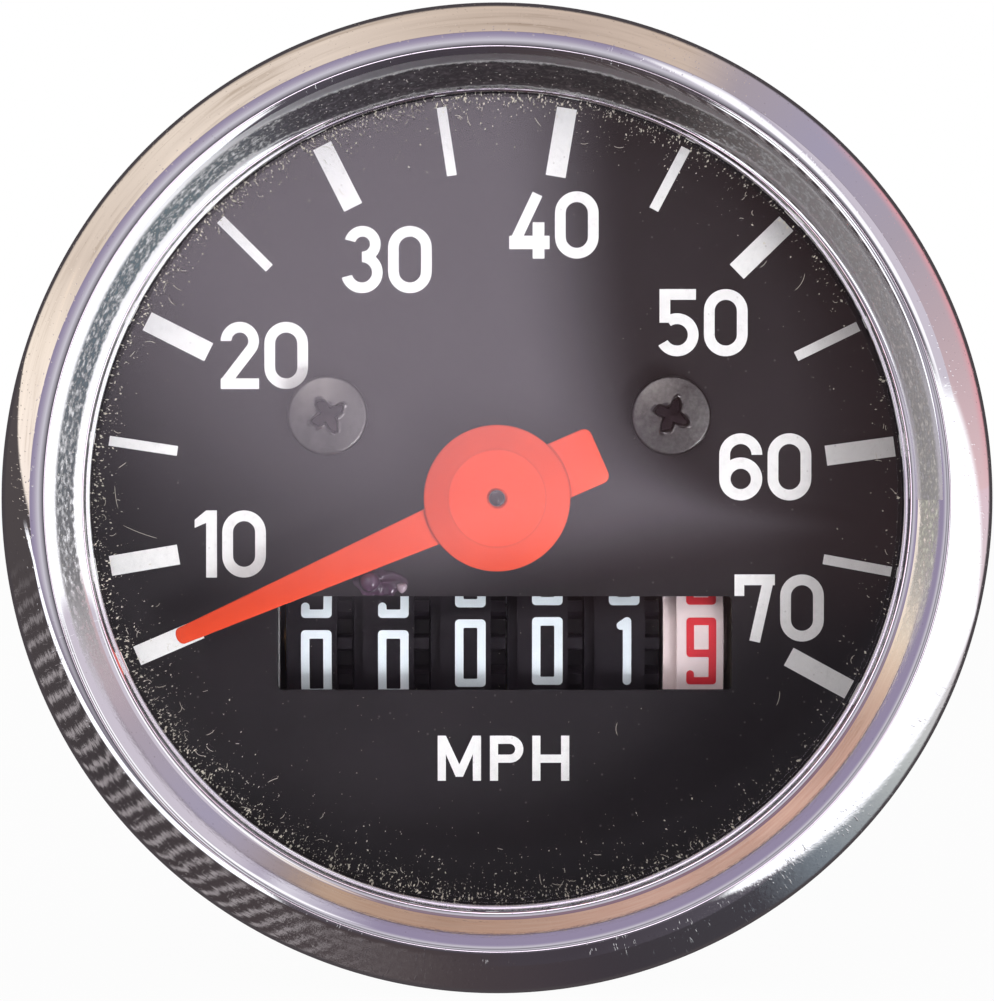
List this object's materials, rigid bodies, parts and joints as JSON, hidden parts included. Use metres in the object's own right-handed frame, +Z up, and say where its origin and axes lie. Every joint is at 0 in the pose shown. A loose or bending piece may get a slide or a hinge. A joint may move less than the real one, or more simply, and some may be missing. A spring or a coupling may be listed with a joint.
{
  "type": "round panel speedometer",
  "caption": "Round dial speedometer with a bright bezel, an orange pointer, a six-wheel odometer, and a threaded cable neck and clamp bracket behind.",
  "frame": {"origin": "on the dial's axis, in the plane where the bezel's rear face seats on the panel", "axes": "+Y runs back from the dial along the cable neck, +X to the reader's right, +Z up"},
  "size_m": [0.06, 0.0589, 0.06],
  "materials": {
    "chrome": "bright plating, speckled with age",
    "case_steel": "zinc-plated sheet, dull",
    "rubber": "black, matt",
    "glass": "clear, dusty at the edge",
    "black_paint": "satin black with a faint violet sheen",
    "white_print": "matt white print",
    "nickel": "satin nickel",
    "dark_steel": "turned, dark",
    "steel": "bright turned steel",
    "zinc": "die-cast, slightly grey",
    "bronze": "sintered bronze",
    "brass": "turned brass",
    "aluminium": "spun sheet",
    "magnet": "ground magnet alloy",
    "orange_red": "orange-red, slightly glossy",
    "wheel_black": "black moulding",
    "wheel_white": "off-white moulding",
    "gear_plastic": "natural nylon",
    "black_plastic": "black moulding",
    "bulb_glass": "clear bulb"
  },
  "bodies": {
    "case": {"case_shell": "case_steel", "bezel": "chrome", "bezel_gasket": "rubber", "glass_lens": "glass", "spacer_ring": "black_plastic", "dial_plate": "black_paint", "dial_print": "white_print", "dial_screws": "nickel", "stop_pin": "dark_steel", "front_plate": "steel", "spindle_bush": "bronze", "hairspring_stud": "brass", "frame_pillars": "steel", "base_casting": "zinc", "cable_nipple": "steel", "shaft_bush": "bronze", "odometer_cheek": "steel", "gear_plate": "steel", "gear_bridge": "steel", "cross_bearing": "bronze", "odometer_axle": "steel", "axle_spacer": "brass", "pinion_axle": "steel", "axle_clips": "dark_steel", "mounting_bracket": "steel", "bracket_studs": "steel", "bracket_washers": "steel", "bracket_nuts": "brass", "lamp_holder": "black_plastic", "lamp_bulb": "bulb_glass", "lamp_terminal": "brass", "case_screws": "nickel"},
    "pointer": {"pointer_blade": "orange_red", "pointer_boss": "orange_red", "pointer_spindle": "dark_steel", "hairspring_collet": "brass", "hairspring": "steel", "speed_cup": "aluminium", "cup_collet": "brass"},
    "input": {"input_shaft": "steel", "drive_worm": "gear_plastic", "drive_magnet": "magnet", "flux_cup": "steel"},
    "cross": {"cross_shaft": "steel", "worm_wheel": "gear_plastic", "cross_pinion": "brass"},
    "compound": {"compound_gear": "gear_plastic"},
    "tenths": {"tenths_wheel": "wheel_white", "odometer_gear": "gear_plastic"},
    "carry_1": {"transfer_pinion_1": "gear_plastic"},
    "units": {"units_wheel": "wheel_black"},
    "carry_2": {"transfer_pinion_2": "gear_plastic"},
    "tens": {"tens_wheel": "wheel_black"},
    "carry_3": {"transfer_pinion_3": "gear_plastic"},
    "hundreds": {"hundreds_wheel": "wheel_black"},
    "carry_4": {"transfer_pinion_4": "gear_plastic"},
    "thousands": {"thousands_wheel": "wheel_black"},
    "carry_5": {"transfer_pinion_5": "gear_plastic"},
    "ten_thousands": {"ten_thousands_wheel": "wheel_black"}
  },
  "joints": [
    {"name": "pointer_swing", "type": "hinge", "parent": "case", "child": "pointer", "pos_m": [0, 0, 0], "axis": [0, 1, 0], "range_deg": [0, 232], "stiffness_Nm_per_rad": 0.0002, "springref_deg": -28.65, "deforming": ["hairspring"]},
    {"name": "input_spin", "type": "hinge", "parent": "case", "child": "input", "pos_m": [0, 0, 0], "axis": [0, 1, 0], "continuous": true},
    {"name": "cross_spin", "type": "hinge", "parent": "case", "child": "cross", "pos_m": [0, 0.0315, -0.006], "axis": [1, 0, 0], "continuous": true},
    {"name": "compound_spin", "type": "hinge", "parent": "case", "child": "compound", "pos_m": [0, 0.02143, -0.00945], "axis": [1, 0, 0], "continuous": true},
    {"name": "tenths_spin", "type": "hinge", "parent": "case", "child": "tenths", "pos_m": [0, 0.012, -0.0091], "axis": [1, 0, 0], "continuous": true},
    {"name": "carry_1_spin", "type": "hinge", "parent": "case", "child": "carry_1", "pos_m": [0, 0.01893, -0.01603], "axis": [1, 0, 0], "continuous": true},
    {"name": "units_spin", "type": "hinge", "parent": "case", "child": "units", "pos_m": [0, 0.012, -0.0091], "axis": [1, 0, 0], "continuous": true},
    {"name": "carry_2_spin", "type": "hinge", "parent": "case", "child": "carry_2", "pos_m": [0, 0.01893, -0.01603], "axis": [1, 0, 0], "continuous": true},
    {"name": "tens_spin", "type": "hinge", "parent": "case", "child": "tens", "pos_m": [0, 0.012, -0.0091], "axis": [1, 0, 0], "continuous": true},
    {"name": "carry_3_spin", "type": "hinge", "parent": "case", "child": "carry_3", "pos_m": [0, 0.01893, -0.01603], "axis": [1, 0, 0], "continuous": true},
    {"name": "hundreds_spin", "type": "hinge", "parent": "case", "child": "hundreds", "pos_m": [0, 0.012, -0.0091], "axis": [1, 0, 0], "continuous": true},
    {"name": "carry_4_spin", "type": "hinge", "parent": "case", "child": "carry_4", "pos_m": [0, 0.01893, -0.01603], "axis": [1, 0, 0], "continuous": true},
    {"name": "thousands_spin", "type": "hinge", "parent": "case", "child": "thousands", "pos_m": [0, 0.012, -0.0091], "axis": [1, 0, 0], "continuous": true},
    {"name": "carry_5_spin", "type": "hinge", "parent": "case", "child": "carry_5", "pos_m": [0, 0.01893, -0.01603], "axis": [1, 0, 0], "continuous": true},
    {"name": "ten_thousands_spin", "type": "hinge", "parent": "case", "child": "ten_thousands", "pos_m": [0, 0.012, -0.0091], "axis": [1, 0, 0], "continuous": true}
  ],
  "couplings": [
    {"joint": "cross_spin", "follows": "input_spin", "ratio": -0.03125},
    {"joint": "compound_spin", "follows": "input_spin", "ratio": 0.00625},
    {"joint": "tenths_spin", "follows": "input_spin", "ratio": -0.001},
    {"joint": "carry_1_spin", "follows": "input_spin", "ratio": 0.00025},
    {"joint": "units_spin", "follows": "input_spin", "ratio": -0.0001},
    {"joint": "carry_2_spin", "follows": "input_spin", "ratio": 0.000025},
    {"joint": "tens_spin", "follows": "input_spin", "ratio": -0.00001},
    {"joint": "carry_3_spin", "follows": "input_spin", "ratio": 0.0000025},
    {"joint": "hundreds_spin", "follows": "input_spin", "ratio": -0.000001},
    {"joint": "carry_4_spin", "follows": "input_spin", "ratio": 0.00000025},
    {"joint": "thousands_spin", "follows": "input_spin", "ratio": -0.0000001},
    {"joint": "carry_5_spin", "follows": "input_spin", "ratio": 0.000000025},
    {"joint": "ten_thousands_spin", "follows": "input_spin", "ratio": -0.00000001}
  ]
}
